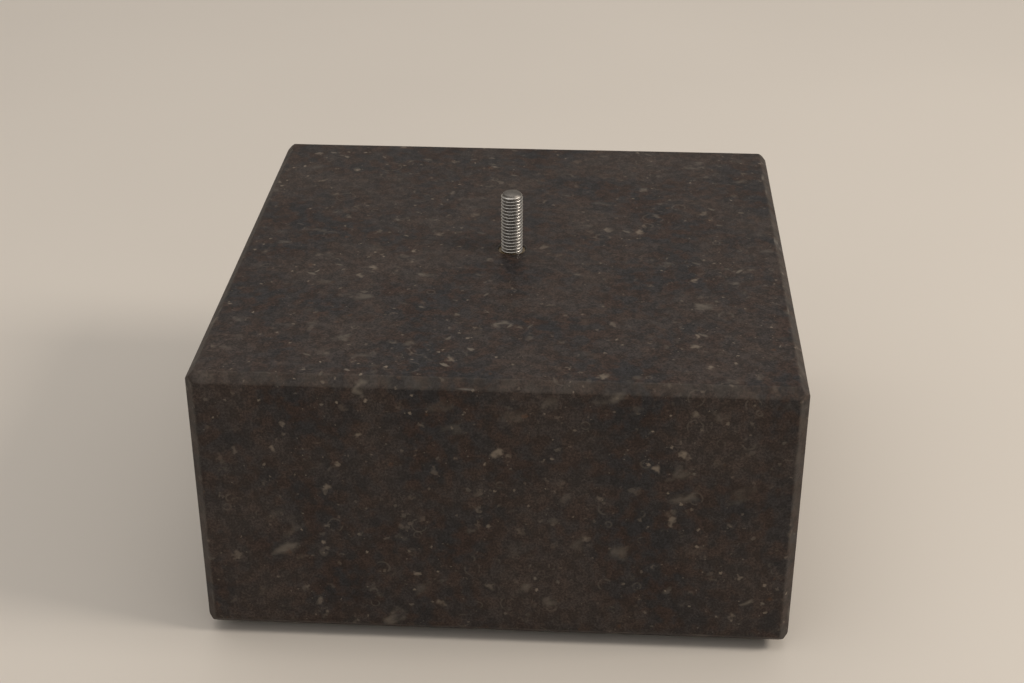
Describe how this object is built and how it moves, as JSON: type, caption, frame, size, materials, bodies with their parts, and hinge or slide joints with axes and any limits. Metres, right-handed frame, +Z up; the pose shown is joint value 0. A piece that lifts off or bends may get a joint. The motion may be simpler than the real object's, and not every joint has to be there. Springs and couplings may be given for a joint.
{
  "type": "display plinth",
  "caption": "Square solid stone plinth with ground arrises, on felt pads, with a resin-set threaded stud on top to hold a small statuette and its nut in a recess below.",
  "frame": {"origin": "middle of the footprint, on the surface that the felt pads stand on", "axes": "+Z up along the stud, +X to the right and +Y to the back, square to the block's sides"},
  "size_m": [0.2, 0.2, 0.125],
  "materials": {
    "stone": "honed",
    "stainless": "drawn",
    "zinc": "zinc plated",
    "rubber": "matte",
    "resin": "satin",
    "felt": "felted"
  },
  "bodies": {
    "root": {"stone_block": "stone", "mounting_stud": "stainless", "resin_bed": "resin", "rubber_washer": "rubber", "penny_washer": "zinc", "lock_washer": "zinc", "hex_nut": "zinc", "felt_pad_front_left": "felt", "felt_pad_front_right": "felt", "felt_pad_back_left": "felt", "felt_pad_back_right": "felt"}
  },
  "joints": []
}
